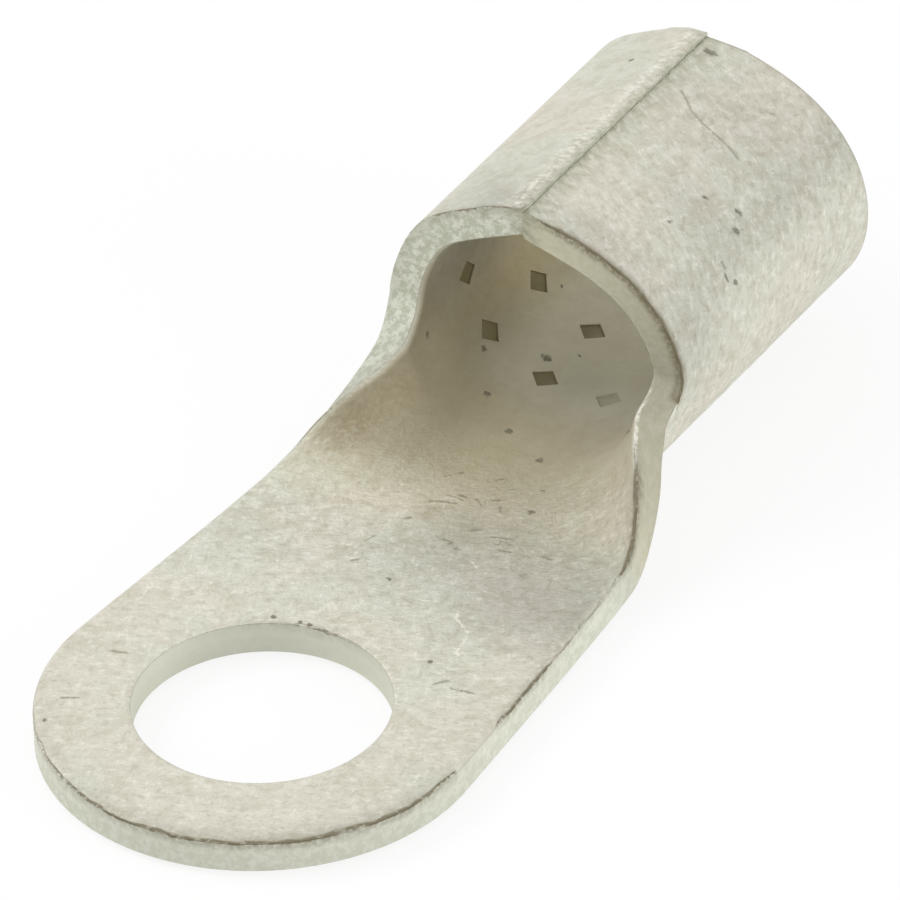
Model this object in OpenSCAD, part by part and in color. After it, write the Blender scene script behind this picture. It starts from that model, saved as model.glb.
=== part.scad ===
// Ring cable lug: one piece of tinned copper sheet.
// A flat ring takes the stud, a tongue tapers away from it, the neck is where the sheet curls up, and
// the barrel is the same sheet rolled shut, its two edges butting in a seam along the top.
// The stud hole's axis is Z, the underside of the ring is Z = 0, and the barrel runs along +X.

/* [Sheet] */
// Thickness of the copper sheet the whole lug is pressed from
sheet = 1.5; // [1.2:0.1:1.9]
// How far the blanking tool rounds over the upper edge of the sheet
edge_roll = 0.2; // [0.1:0.05:0.4]

/* [Ring and tongue] */
// Diameter of the stud hole, 10.5 for an M10 stud
stud_hole_d = 10.5; // [6.5:0.1:12.6]
// Width of the ring around the stud hole
ring_width = 18.3; // [16:0.1:22]
// How much each edge of the tongue turns in towards the barrel, in degrees
taper = 4.8; // [2:0.2:7]
// Distance from the stud hole to where the sheet starts to curl
tongue_len = 13.5; // [11.2:0.1:16.2]

/* [Barrel] */
// Length of the barrel from its cut front to its open rear
barrel_len = 14.8; // [12.3:0.1:18]
// Outside width of the oval barrel
barrel_width = 14.1; // [11.7:0.1:17]
// Outside height of the barrel's oval, without the ridge along its seam
barrel_height = 12.4; // [10.3:0.1:14.9]
// How far the barrel hangs below the underside of the ring
barrel_drop = 0.2; // [0:0.1:0.8]

/* [Neck] */
// Length of the neck, from where the curl starts to the cut front of the barrel
neck_len = 7.5; // [6.2:0.1:9]
// Length along the lug of the curve that widens the blank into the barrel's front cut
flare_len = 4.6; // [3:0.1:5.6]
// How much sheet that curve gains on each side
flare_rise = 2.6; // [1.5:0.1:3.5]
// How far ahead of the front cut the curl is complete
curl_lead = 0.8; // [0.3:0.1:1.5]

/* [Seam] */
// How steeply the sheet's flat left edge climbs to the seam, in degrees
flat_pitch = 19; // [14:0.5:22]
// How far the right edge of the sheet sits below the left one along the seam
seam_step = 0.15; // [0.05:0.05:0.3]
// Width of the groove left along the butted edges
groove_width = 0.5; // [0.3:0.1:0.8]
// Depth of the groove left along the butted edges
groove_depth = 0.2; // [0.1:0.05:0.3]
// How far the right edge of the sheet stops short at the barrel's rear
rear_step = 0.4; // [0.1:0.1:0.8]
// Width over which that shortfall runs out
rear_step_width = 2.2; // [1:0.1:3]

/* [Grip pits] */
// Side of each square pit pressed into the barrel's inside
pit_side = 0.88; // [0.6:0.02:1]
// Depth of the pits
pit_depth = 0.25; // [0.1:0.05:0.4]
// Distance from the front cut to the first ring of pits
pit_first = 3.3; // [2.5:0.1:4]
// Distance between the rings of pits along the barrel
pit_pitch = 3.75; // [3:0.05:4]
// Distance between the pits of one ring, measured along the wall
pit_spacing = 2.95; // [2.4:0.05:3.4]

/* [Hidden] */
$fn = 96;

ring_r = ring_width / 2;
hole_r = stud_hole_d / 2;
hole_roll = edge_roll / 2;
out_a = barrel_width / 2;
out_b = barrel_height / 2;
in_a = out_a - sheet;
in_b = out_b - sheet;
mid_a = out_a - sheet / 2;
mid_b = out_b - sheet / 2;
axis_z = out_b - barrel_drop;
front_x = tongue_len + neck_len;
rear_x = front_x + barrel_len;
curl_end = front_x - curl_lead;

roll_steps = 3;    // short flats that make the rounded upper edge
sheet_steps = 14;  // strips across each half of the neck
flat_steps = 6;    // neck sections ahead of the flare
flare_steps = 10;  // neck sections in the flare
turn_steps = 180;  // steps along half the oval when it is measured
lap = 0.4;         // how far the neck runs into the tongue and into the barrel
skin = 0.02;       // how far the neck lies under their faces, so no two faces coincide
set_in = 0.02;     // how far straight edges lie inside the tangent of the curve they leave
over = 1;          // how far a cutter reaches past what it cuts

copper = [0.80, 0.79, 0.75];

// ---- the rounded upper edge: [distance short of the edge, distance below the upper face] ----
function roll_off(r) = [for (k = [0 : roll_steps]) let (q = 90 * k / roll_steps)
    [r * (1 - sin(q)), r * (1 - cos(q))]];

// ---- ring and tongue ----
// Half of the plate's section, from its middle out to the edge, with the upper corner rounded
function edge_profile(r) = concat([[0, 0], [r, 0]],
    [for (k = [roll_steps : -1 : 0]) let (c = roll_off(edge_roll)[k]) [r - c[0], sheet - c[1]]],
    [[0, sheet]]);

// One side of the tongue: the plate's section drawn straight out beside the ring
module tongue_side() {
    rotate([0, 0, -taper]) rotate([90, 0, 90]) linear_extrude(tongue_len / cos(taper) + ring_r)
        union() {
            polygon(edge_profile(ring_r - set_in));
            translate([-hole_r / 2, 0]) square([hole_r, sheet]);
        }
}

module ring_and_tongue() {
    difference() {
        union() {
            rotate_extrude()
                polygon(edge_profile(ring_r));
            intersection() {
                union() {
                    tongue_side();
                    mirror([0, 1, 0]) tongue_side();
                }
                translate([-ring_r, -ring_width, -over])
                    cube([ring_r + tongue_len, 2 * ring_width, sheet + 2 * over]);
            }
        }
        translate([0, 0, -over]) cylinder(r = hole_r, h = sheet + 2 * over);
        translate([0, 0, sheet - hole_roll])
            cylinder(r1 = hole_r, r2 = hole_r + hole_roll * 2, h = hole_roll * 2);
    }
}

// ---- barrel: the rolled sheet is oval, but its two edges stay flat and meet in a low ridge ----
// Height at the seam of the line that touches an oval at this slope
function ridge(a, b, slope) = norm([a * slope, b]);
slope_l = tan(flat_pitch);
slope_r = sqrt(pow(ridge(out_a, out_b, slope_l) - seam_step, 2) - out_b * out_b) / out_a;

// From the seam down to where the flat edge has run into the oval
function flat_edge(a, b, slope) =
    let (top = ridge(a, b, slope) - set_in, out = a * a * slope / ridge(a, b, slope))
    [[0, top], [out, top - slope * out]];

module rolled_oval(a, b) {
    scale([a, b]) circle(r = 1);
    polygon(concat(flat_edge(a, b, slope_l), [[0, 0]],
        [for (i = [1, 0]) let (p = flat_edge(a, b, slope_r)[i]) [-p[0], p[1]]]));
}

// The gap that the two rounded edges leave, seen from the barrel's end
module seam_groove() {
    half = groove_width / 2;
    polygon([[-half, over], [half, over], [half, seam_step - half * slope_l],
        [0, -groove_depth], [-half, -half * slope_r]]);
}

module barrel_section() {
    difference() {
        rolled_oval(out_a, out_b);
        rolled_oval(in_a, in_b);
        translate([0, ridge(out_a, out_b, slope_r)]) seam_groove();
    }
}

module barrel() {
    difference() {
        translate([front_x, 0, axis_z]) rotate([90, 0, 90]) linear_extrude(barrel_len)
            barrel_section();
        translate([0, 0, axis_z]) linear_extrude(barrel_height)
            polygon([[rear_x - rear_step, 0], [rear_x + rear_step, 0],
                [rear_x + rear_step, -2 * rear_step_width]]);
    }
}

// ---- neck: every section is the barrel's own mid line, unrolled as far as the curl has got ----
// Length along the oval's mid line from its lowest point, with the direction the sheet has there
function oval_point(i) = let (q = 180 * i / turn_steps) [mid_a * sin(q), -mid_b * cos(q)];
turn_table = [for (i = 0, s = 0; i <= turn_steps;
    s = s + norm(oval_point(i + 1) - oval_point(i)), i = i + 1)
    [s, atan2(mid_b * sin(180 * i / turn_steps), mid_a * cos(180 * i / turn_steps))]];
function turn(s) = lookup(s, turn_table);

function ease(u) = let (v = min(max(u, 0), 1)) v * v * (3 - 2 * v);
function curl(x) = ease((x - tongue_len) / (curl_end - tongue_len));
function tongue_half(x) = (ring_r - set_in - x * sin(taper)) / cos(taper);

// Places and offsets across half the sheet, from the middle to the edge
function places(h) = concat([for (j = [0 : sheet_steps - 1]) (h - edge_roll) * j / sheet_steps],
    [for (c = roll_off(edge_roll)) h - c[0]]);
upper_face = concat([for (j = [0 : sheet_steps - 1]) sheet / 2 - skin],
    [for (c = roll_off(edge_roll)) sheet / 2 - skin - c[1]]);

// Mid line of half a section: [distance out, height, direction] at each place
function half_line(g, s, z0) = [for (j = 0, y = 0, z = z0; j < len(s);
    y = y + (s[min(j + 1, len(s) - 1)] - s[j]) * cos(g * turn((s[j] + s[min(j + 1, len(s) - 1)]) / 2)),
    z = z + (s[min(j + 1, len(s) - 1)] - s[j]) * sin(g * turn((s[j] + s[min(j + 1, len(s) - 1)]) / 2)),
    j = j + 1) [y, z, g * turn(s[j])]];

// One closed section of the neck at x: upper face from right to left, then lower face back
function neck_section(x, g, h) =
    let (line = half_line(g, places(h - skin), sheet / 2 - barrel_drop * g), n = len(line),
         up = [for (j = [0 : n - 1]) [line[j][0] - upper_face[j] * sin(line[j][2]),
             line[j][1] + upper_face[j] * cos(line[j][2])]],
         low = [for (j = [0 : n - 1]) [line[j][0] + (sheet / 2 - skin) * sin(line[j][2]),
             line[j][1] - (sheet / 2 - skin) * cos(line[j][2])]])
    concat([for (j = [n - 1 : -1 : 1]) [x, -up[j][0], up[j][1]]],
        [for (j = [0 : n - 1]) [x, up[j][0], up[j][1]]],
        [for (j = [n - 1 : -1 : 0]) [x, low[j][0], low[j][1]]],
        [for (j = [1 : n - 1]) [x, -low[j][0], low[j][1]]]);

// Where the sections stand: [x, how far curled, developed half width]
flare_x = front_x + skin - flare_len;
stations = concat([[tongue_len - lap, 0, tongue_half(tongue_len - lap)]],
    [for (i = [0 : flat_steps - 1]) let (x = tongue_len + (flare_x - tongue_len) * i / flat_steps)
        [x, curl(x), tongue_half(x)]],
    [for (i = [0 : flare_steps]) let (q = 90 * i / flare_steps, x = flare_x + flare_len * sin(q))
        [x, curl(x), tongue_half(x) + flare_rise * (1 - cos(q))]],
    [[front_x + lap, 1, tongue_half(front_x) + flare_rise]]);

module neck() {
    rings = [for (s = stations) neck_section(s[0], s[1], s[2])];
    n = len(rings[0]);
    m = len(rings);
    half = n / 2;
    skins = [for (i = [0 : m - 2]) for (j = [0 : n - 1]) let (a = i * n + j, b = i * n + (j + 1) % n)
        each [[a, b, a + n], [b, b + n, a + n]]];
    front = [for (j = [0 : half - 2]) let (a = j, b = j + 1, c = n - 1 - j, d = n - 2 - j)
        each [[a, c, b], [b, c, d]]];
    back = [for (f = front) [f[0] + (m - 1) * n, f[2] + (m - 1) * n, f[1] + (m - 1) * n]];
    polyhedron(points = [for (r = rings) each r], faces = concat(skins, front, back), convexity = 6);
}

// ---- grip pits: square punch marks in the inside wall, corner to corner along the barrel ----
function in_point(q) = [in_a * sin(q), -in_b * cos(q)];
in_table = [for (i = 0, s = 0; i <= turn_steps;
    s = s + norm(in_point(180 * (i + 1) / turn_steps) - in_point(180 * i / turn_steps)), i = i + 1)
    [s, 180 * i / turn_steps]];
pit_rings = floor((barrel_len - pit_first - pit_side) / pit_pitch) + 1;
pits_each_side = floor((in_table[turn_steps][0] - pit_side) / pit_spacing + 0.5);

module pit(x, s) {
    q = lookup(s, in_table);
    p = in_point(q);
    translate([x, p[0], axis_z + p[1]]) rotate([atan2(in_b * sin(q), in_a * cos(q)), 0, 0])
        rotate([0, 0, 45]) cube([pit_side, pit_side, 2 * pit_depth], center = true);
}

module grip_pits() {
    for (i = [0 : pit_rings - 1], k = [0 : pits_each_side - 1], side = [0, 1])
        mirror([0, side, 0]) pit(front_x + pit_first + i * pit_pitch, (k + 0.5) * pit_spacing);
}

module cable_lug() {
    color(copper) difference() {
        union() {
            ring_and_tongue();
            neck();
            barrel();
        }
        grip_pits();
    }
}

cable_lug();
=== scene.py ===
"""Ring cable lug: a flat blank of tinned copper, sheared, punched and rolled into a barrel behind a ring."""
import math

import bmesh
import bpy
import numpy as np
from mathutils import Matrix, Vector, noise


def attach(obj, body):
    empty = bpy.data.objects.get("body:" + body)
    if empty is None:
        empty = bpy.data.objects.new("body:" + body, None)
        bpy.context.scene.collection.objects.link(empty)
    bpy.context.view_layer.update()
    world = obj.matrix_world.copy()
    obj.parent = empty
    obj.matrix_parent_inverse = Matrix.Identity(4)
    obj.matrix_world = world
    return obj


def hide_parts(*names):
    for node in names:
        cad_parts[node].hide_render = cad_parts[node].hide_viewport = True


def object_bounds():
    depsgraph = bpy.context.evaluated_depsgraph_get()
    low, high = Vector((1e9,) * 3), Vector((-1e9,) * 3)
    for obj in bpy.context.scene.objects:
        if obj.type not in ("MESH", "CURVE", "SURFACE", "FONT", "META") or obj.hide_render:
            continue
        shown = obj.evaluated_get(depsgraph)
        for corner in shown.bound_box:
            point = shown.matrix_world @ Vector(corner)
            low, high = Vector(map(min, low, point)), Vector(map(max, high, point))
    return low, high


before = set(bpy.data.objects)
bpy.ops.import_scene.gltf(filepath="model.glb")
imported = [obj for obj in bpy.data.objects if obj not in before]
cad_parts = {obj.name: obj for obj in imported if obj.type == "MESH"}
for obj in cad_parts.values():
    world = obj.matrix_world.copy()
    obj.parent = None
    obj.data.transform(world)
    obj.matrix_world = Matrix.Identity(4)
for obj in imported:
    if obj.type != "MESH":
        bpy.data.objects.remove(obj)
cad_low, cad_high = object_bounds()

MM = 0.001

# ---- the blank, in millimetres: x along the lug, y across the flat sheet (left is +), z through it ----
# z is 0 on the face that ends up outside and under, and SHEET on the face that ends up inside and on top
SHEET = 1.5
HOLE_R, RING_R = 5.25, 9.148
FRONT, REAR = 21.0, 35.72
LEFT, RIGHT = 1, -1
# each side of the blank: taper of the tongue, length, rise and roundness of the flare, how much sheet lies in
# that half of the barrel, and how far the edge swells out beside the neck
SIDES = {
    LEFT: dict(taper=0.087, flare=3.224, rise=0.699, power=1.827, reach=18.038, swell=-0.01),
    RIGHT: dict(taper=0.064, flare=3.751, rise=0.552, power=1.622, reach=18.721, swell=0.207),
}
SWELL_AT, SWELL_LENGTH = 16, 2
# how far the sheet has turned, in radians, at fractions of the way from the barrel's bottom to its seam
TURN_AT = (0, 0.12, 0.28, 0.42, 0.56, 0.70, 0.82, 0.92, 1.0)
TURN = {
    LEFT: (0, 0.204, 0.758, 1.269, 1.776, 2.123, 2.656, 2.71, 2.71),
    RIGHT: (0, 0.294, 0.747, 1.307, 1.817, 2.343, 2.723, 2.879, 2.879),
}
# how much of that turn is done at places along the neck
CURL_AT = (9.0, 12.5, 14.5, 16.2, 17.6, 18.8, 19.9, 20.8, 22.0)
CURL = (0, 0.024, 0.102, 0.389, 0.622, 0.881, 1, 1, 1)
CURL_SHARES, REACH_STEPS = 121, 401
BARREL_DROP = 0.2
# the barrel leans: x grows by LEAN for each millimetre above LEAN_ABOUT, and the lean builds up over the neck
LEAN, LEAN_ABOUT, LEAN_FROM, LEAN_LENGTH = -0.0113, 6, 15, 6
# the two edges meet beside the middle, and the last stretch of sheet is drawn to the seam
SEAM_Y, SEAM_GAP, SEAM_EASE = 0.34, 0.004, 1.3

# ---- mesh density: a band along every edge is built from strips that get narrower towards the rim ----
BAND = 0.45
STRIPS = (0.34, 0.25, 0.18, 0.12, 0.07, 0.03, 0.0)
RING_BACK = 7.6
ACROSS, RING_STEPS, RADIAL = 88, 210, 17
TONGUE_ROWS, FLARE_ROWS, BARREL_ROWS = 42, 22, 70
LEFT_COLS, RIGHT_COLS = 32, 36
RING_SIDE_STEP = 0.2  # length of a step on the straight stretches beside the ring
RIM_CUTS = 7
# fractions of a grid that count as its first and its last row, and gaps that count as none
AT_START, AT_END = 1e-4, 0.9999
TOUCHING, SLACK = 0.001, 0.01

# how wide and how deep the shear rolls the edges over, on the outer and on the inner face
HOLE_ROLL = dict(outer=(0.12, 0.04), inner=(0.25, 0.07))
EDGE_ROLL = dict(outer=(0.12, 0.05), inner=(0.36, 0.15))
ROLL_POWER = 2.2


def ease(u):
    u = np.clip(u, 0, 1)
    return u * u * (3 - 2 * u)


def fade(value, start, end):
    """0 up to the start, 1 from the end on and eased between them. The end may lie before the start."""
    return ease((value - start) / (end - start))


def slope(value, start, end):
    """The same in a straight line."""
    return np.clip((value - start) / (end - start), 0, 1)


def bell(value, middle, width):
    """1 at the middle, falling off smoothly to both sides."""
    return np.exp(-((value - middle) / width) ** 2)


def strength_at(value, pairs):
    """The strength at each value, along straight lines between pairs of a place and a strength."""
    return np.interp(value, *zip(*pairs))


def smooth_curve(at, values, x):
    """A curve through the given values that never overshoots them."""
    at, values = np.asarray(at, float), np.asarray(values, float)
    gap = np.diff(at)
    rate = np.diff(values) / gap
    slope = np.zeros(len(at))
    slope[0], slope[-1] = rate[0], rate[-1]
    for i in range(1, len(at) - 1):
        if rate[i - 1] * rate[i] > 0:
            a, b = 2 * gap[i] + gap[i - 1], gap[i] + 2 * gap[i - 1]
            slope[i] = (a + b) / (a / rate[i - 1] + b / rate[i])
    x = np.clip(x, at[0], at[-1])
    k = np.clip(np.searchsorted(at, x, side="right") - 1, 0, len(gap) - 1)
    u = (x - at[k]) / gap[k]
    return ((1 + 2 * u) * (1 - u) ** 2 * values[k] + u * (1 - u) ** 2 * gap[k] * slope[k]
            + u * u * (3 - 2 * u) * values[k + 1] + u * u * (u - 1) * gap[k] * slope[k + 1])


def half_width(side, x, part=0.0):
    """Half width of the tongue at x, with the flare added as its part of a quarter turn goes from 0 to 1."""
    s = SIDES[side]
    straight = (RING_R - x * math.sin(s["taper"])) / math.cos(s["taper"])
    k = np.sin(part * math.pi / 2)
    return straight + s["rise"] * s["flare"] * (1 - (1 - k ** s["power"]) ** (1 / s["power"]))


def side_line(side):
    """Outline of the tongue and flare from behind the ring to the front cut, with its outward directions."""
    start = FRONT - SIDES[side]["flare"]
    x = np.linspace(RING_BACK, start, TONGUE_ROWS + 1)
    turn = np.linspace(0, 1, FLARE_ROWS + 1)[1:]
    flare_x = start + SIDES[side]["flare"] * np.sin(turn * math.pi / 2)
    y = np.concatenate([half_width(side, x), half_width(side, flare_x, turn)])
    x = np.concatenate([x, flare_x])
    tx, ty = np.gradient(x), np.gradient(y)
    tx[-1], ty[-1] = 0, 1
    size = np.hypot(tx, ty)
    out = np.column_stack([-ty / size, tx / size])
    y = y + SIDES[side]["swell"] * np.exp(-((x - SWELL_AT) / SWELL_LENGTH) ** 2)
    line = np.column_stack([x, y])
    flip = np.array([1, side])
    return line * flip, out * flip


def deselect():
    if bpy.context.object and bpy.context.object.mode != "OBJECT":
        bpy.ops.object.mode_set(mode="OBJECT")
    bpy.ops.object.select_all(action="DESELECT")


def grid(name, u_steps, v_steps, place):
    """A flat grid. place turns its two fractions into places and, along open edges, outward directions."""
    deselect()
    bpy.ops.mesh.primitive_grid_add(x_subdivisions=u_steps, y_subdivisions=v_steps, size=1)
    made = bpy.context.object
    made.name = name
    co = vertex_places(made)
    u, v = co[:, 0] + 0.5, co[:, 1] + 0.5
    xy, out = place(u, v)
    made.data.vertices.foreach_set("co", np.column_stack([xy, np.full(len(xy), SHEET)]).ravel())
    layer = made.data.attributes.new("outward", "FLOAT_VECTOR", "POINT")
    layer.data.foreach_set("vector", np.column_stack([out, np.zeros(len(out))]).ravel())
    return made


def vertex_places(obj):
    co = np.empty(len(obj.data.vertices) * 3)
    obj.data.vertices.foreach_get("co", co)
    return co.reshape(-1, 3)


left_line, left_out = side_line(LEFT)
right_line, right_out = side_line(RIGHT)
left_in, right_in = left_line - BAND * left_out, right_line - BAND * right_out


def pick(points, index):
    """Places along a list of points at fractional indices."""
    low = np.clip(np.floor(index + 1e-6).astype(int), 0, len(points) - 2)
    part = (index - low)[:, None]
    return points[low] * (1 - part) + points[low + 1] * part


def place_tongue(u, v):
    row = u * (len(left_in) - 1)
    v = v[:, None]
    xy = pick(right_in, row) * (1 - v) + pick(left_in, row) * v
    out = np.where(v < AT_START, pick(right_out, row), np.where(v > AT_END, pick(left_out, row), 0))
    return xy, out


def place_barrel(u, v):
    index = v * (RIGHT_COLS + ACROSS + LEFT_COLS)
    ends = [-SIDES[RIGHT]["reach"] + BAND, right_in[-1][1], left_in[-1][1], SIDES[LEFT]["reach"] - BAND]
    y = np.interp(index, [0, RIGHT_COLS, RIGHT_COLS + ACROSS, RIGHT_COLS + ACROSS + LEFT_COLS], ends)
    x = FRONT + BAND + u * (REAR - FRONT - 2 * BAND)
    beside_neck = (index < RIGHT_COLS + 0.5) | (index > RIGHT_COLS + ACROSS - 0.5)
    out_x = np.where(u > AT_END, 1.0, np.where((u < AT_START) & beside_neck, -1.0, 0.0))
    out_y = np.where(v < AT_START, -1.0, np.where(v > AT_END, 1.0, 0.0))
    return np.column_stack([x, y]), np.column_stack([out_x, out_y])


def ring_outline():
    """The outline of the ring less the band, from the tongue's left round the front to its right and back."""
    parts = []
    for side in (LEFT, RIGHT):
        taper = SIDES[side]["taper"]
        direction = np.array([math.sin(taper), side * math.cos(taper)])
        touch = direction * (RING_R - BAND)
        end = (left_in if side == LEFT else right_in)[0]
        count = max(3, round(float(np.hypot(*(touch - end))) / RING_SIDE_STEP))
        parts.append((end, touch, direction, count))
    (left_end, left_touch, left_way, left_count), (right_end, right_touch, right_way, right_count) = parts
    a0, a1 = math.pi / 2 - SIDES[LEFT]["taper"], 1.5 * math.pi + SIDES[RIGHT]["taper"]
    turn = np.linspace(a0, a1, RING_STEPS - left_count - right_count + 1)
    arc_out = np.column_stack([np.cos(turn), np.sin(turn)])
    first = np.linspace(left_end, left_touch, left_count + 1)[:-1]
    last = np.linspace(right_touch, right_end, right_count + 1)[1:]
    points = np.vstack([first, arc_out * (RING_R - BAND), last,
                        np.linspace(right_in[0], left_in[0], ACROSS + 1)[1:]])
    out = np.vstack([np.tile(left_way, (len(first), 1)), arc_out, np.tile(right_way, (len(last), 1)),
                     np.zeros((ACROSS, 2))])
    out[-1] = left_way
    return points, out


ring_line, ring_out = ring_outline()
ring_angle = np.unwrap(np.arctan2(ring_line[:, 1], ring_line[:, 0]))


def place_ring(u, v):
    index = u * (len(ring_line) - 1)
    v = v[:, None]
    angle = np.interp(index, np.arange(len(ring_angle)), ring_angle)
    spoke = np.column_stack([np.cos(angle), np.sin(angle)])
    xy = spoke * (HOLE_R + BAND) * (1 - v) + pick(ring_line, index) * v
    out = np.where(v < AT_START, -spoke, np.where(v > AT_END, pick(ring_out, index), 0))
    return xy, out


def join(parts, name):
    deselect()
    for part in parts:
        part.select_set(True)
    bpy.context.view_layer.objects.active = parts[0]
    bpy.ops.object.join()
    parts[0].name = name
    return parts[0]


def roll_over(gap, width, depth):
    """How far the sheared edge is dragged down at a distance from the rim."""
    return float(depth * np.clip(1 - gap / width, 0, 1) ** ROLL_POWER)


def cut_blank():
    """The whole blank as a closed plate: faces, the rolled-over edges and the sheared rim."""
    blank = join([
        grid("ring", len(ring_line) - 1, RADIAL, place_ring),
        grid("tongue", TONGUE_ROWS + FLARE_ROWS, ACROSS, place_tongue),
        grid("barrel", BARREL_ROWS, RIGHT_COLS + ACROSS + LEFT_COLS, place_barrel)], "cable_lug_body")
    gap_layer = blank.data.attributes.new("gap", "FLOAT", "POINT")
    gap_layer.data.foreach_set("value", np.full(len(blank.data.vertices), BAND))
    bpy.ops.object.mode_set(mode="EDIT")
    bpy.ops.mesh.select_mode(type="EDGE")
    bpy.ops.mesh.select_all(action="SELECT")
    bpy.ops.mesh.remove_doubles(threshold=TOUCHING)
    last = BAND
    for step in STRIPS:
        bpy.ops.mesh.select_all(action="DESELECT")
        bpy.ops.mesh.select_non_manifold(extend=False, use_wire=False, use_boundary=True,
                                         use_multi_face=False, use_non_contiguous=False, use_verts=False)
        bpy.ops.mesh.extrude_edges_move()
        bm = bmesh.from_edit_mesh(blank.data)
        out, gap = bm.verts.layers.float_vector["outward"], bm.verts.layers.float["gap"]
        for v in bm.verts:
            if v.select:
                v.co += Vector(v[out]) * (last - step)
                v[gap] = step
        last = step
        bmesh.update_edit_mesh(blank.data)
    # the outer face is a copy of the inner one, turned over
    bpy.ops.mesh.select_all(action="SELECT")
    bpy.ops.mesh.duplicate()
    bpy.ops.mesh.flip_normals()
    bm = bmesh.from_edit_mesh(blank.data)
    gap = bm.verts.layers.float["gap"]
    for v in bm.verts:
        rolled = HOLE_ROLL if v.co.xy.length < HOLE_R + BAND - SLACK else EDGE_ROLL
        if v.select:
            v.co.z = roll_over(v[gap], *rolled["outer"])
        else:
            v.co.z = SHEET - roll_over(v[gap], *rolled["inner"])
    for hole in (True, False):
        bpy.ops.mesh.select_all(action="DESELECT")
        bm = bmesh.from_edit_mesh(blank.data)
        for e in bm.edges:
            if e.is_boundary and (max(v.co.xy.length for v in e.verts) < HOLE_R + BAND) == hole:
                e.select_set(True)
        bmesh.update_edit_mesh(blank.data)
        bpy.ops.mesh.bridge_edge_loops(number_cuts=RIM_CUTS, interpolation="LINEAR")
    bm = bmesh.from_edit_mesh(blank.data)
    bm.normal_update()
    gap = bm.verts.layers.float["gap"]
    for v in bm.verts:
        if v.select:
            v[gap] = 0.0
    bpy.ops.mesh.select_all(action="SELECT")
    bpy.ops.mesh.normals_make_consistent(inside=False)
    bpy.ops.object.mode_set(mode="OBJECT")
    return blank


def running_total(values, step):
    """The integral along each row, from 0."""
    total = np.cumsum((values[:, 1:] + values[:, :-1]) / 2 * step, 1)
    return np.concatenate([np.zeros((len(values), 1)), total], 1)


def roll_tables():
    """For each side, how far out and up the middle of the sheet comes, by share of the curl and distance."""
    made = {}
    shares = np.linspace(0, 1, CURL_SHARES)
    for side in (LEFT, RIGHT):
        reach = SIDES[side]["reach"]
        at = np.linspace(0, reach, REACH_STEPS)
        turn = smooth_curve(TURN_AT, TURN[side], at / reach)
        angle = shares[:, None] * turn[None, :]
        step = at[1] - at[0]
        out_t, up_t = running_total(np.cos(angle), step), running_total(np.sin(angle), step)
        made[side] = (at, turn, out_t, up_t)
    return made


ROLL = roll_tables()


def between(table, row, column):
    """Values of a table at fractional rows and columns."""
    i, j = column.astype(int), row.astype(int)
    fi, fj = column - i, row - j
    return ((table[j, i] * (1 - fi) + table[j, i + 1] * fi) * (1 - fj)
            + (table[j + 1, i] * (1 - fi) + table[j + 1, i + 1] * fi) * fj)


def press(flat):
    """Where each point of the flat blank ends up when the blank is rolled, in millimetres."""
    x, across, z = flat.T
    side = np.where(across >= 0, LEFT, RIGHT)
    place = np.zeros_like(flat)
    share = smooth_curve(CURL_AT, CURL, x)
    for which in (LEFT, RIGHT):
        on = side == which
        at, turn, out_t, up_t = ROLL[which]
        reach = SIDES[which]["reach"]
        s, g = np.clip(np.abs(across[on]), 0, reach), share[on]
        column = np.clip(s / reach * (len(at) - 1), 0, len(at) - 1.001)
        row = np.clip(g * (CURL_SHARES - 1), 0, CURL_SHARES - 1.001)
        angle = g * np.interp(s, at, turn)
        off = z[on] - SHEET / 2
        y = which * (between(out_t, row, column) - np.sin(angle) * off)
        up = between(up_t, row, column) + np.cos(angle) * off + SHEET / 2 - BARREL_DROP * g
        end = which * (out_t[-1, -1] - math.sin(turn[-1]) * off)
        seam = SEAM_Y + which * SEAM_GAP / 2
        y += (seam - end) * ease((s - reach + SEAM_EASE) / SEAM_EASE) * (g > 0.999)
        lean = LEAN * (up - LEAN_ABOUT) * ease((x[on] - LEAN_FROM) / LEAN_LENGTH) ** 2
        place[on] = np.column_stack([x[on] + lean, y, up])
    return place


# ---- what use and handling have left on the sheet, in millimetres on the flat blank ----
# square punch marks in the barrel's inside: half their diagonals along and across the lug, their depth, and
# how far round each one the distance from the rim is set again, because the cut loses it
PIT_HALF, PIT_DEPTH, PIT_ROUND = (0.62, 0.70), 0.09, 1.0
PITS = [(24.63, 8.62), (24.45, 5.4), (24.29, 1.82), (24.3, -1.5), (28.33, 5.47), (28.05, 1.84),
        (32.0, 8.7), (31.9, 5.45), (31.75, 1.86), (31.7, -1.6)]
# dark specks: place and radius
INNER_SPECKS = [(25.41, 2.51, 0.3), (21.8, 3.27, 0.24), (20.52, 1.15, 0.26), (19.39, -1.23, 0.26),
                (21.2, -5.2, 0.26), (29.21, 4.55, 0.18), (21.16, 7.54, 0.22), (23.55, 4.97, 0.22),
                (15.99, -2.9, 0.24), (9.44, -0.05, 0.16), (12.3, -4.64, 0.14), (5.56, -4.45, 0.18),
                (26.42, 1.44, 0.14), (4.98, 2.6, 0.16), (5.22, 1.5, 0.12), (5.28, 1.06, 0.13),
                (-5.3, 6.9, 0.16)]
OUTER_SPECKS = [(28.19, -13.08, 0.22), (25.56, -11.65, 0.2), (25.07, -14.6, 0.18), (27.35, -14.27, 0.16),
                (27.44, -12.69, 0.24), (25.72, -12.11, 0.2), (25.95, -11.28, 0.2), (33.41, -14.72, 0.16),
                (33.04, 16.32, 0.2), (34.6, -18.2, 0.3)]
# they are a little longer across than along, and fade out this many radii from their middle
SPECK_SQUEEZE, SPECK_END = 0.8, 1.25
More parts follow.
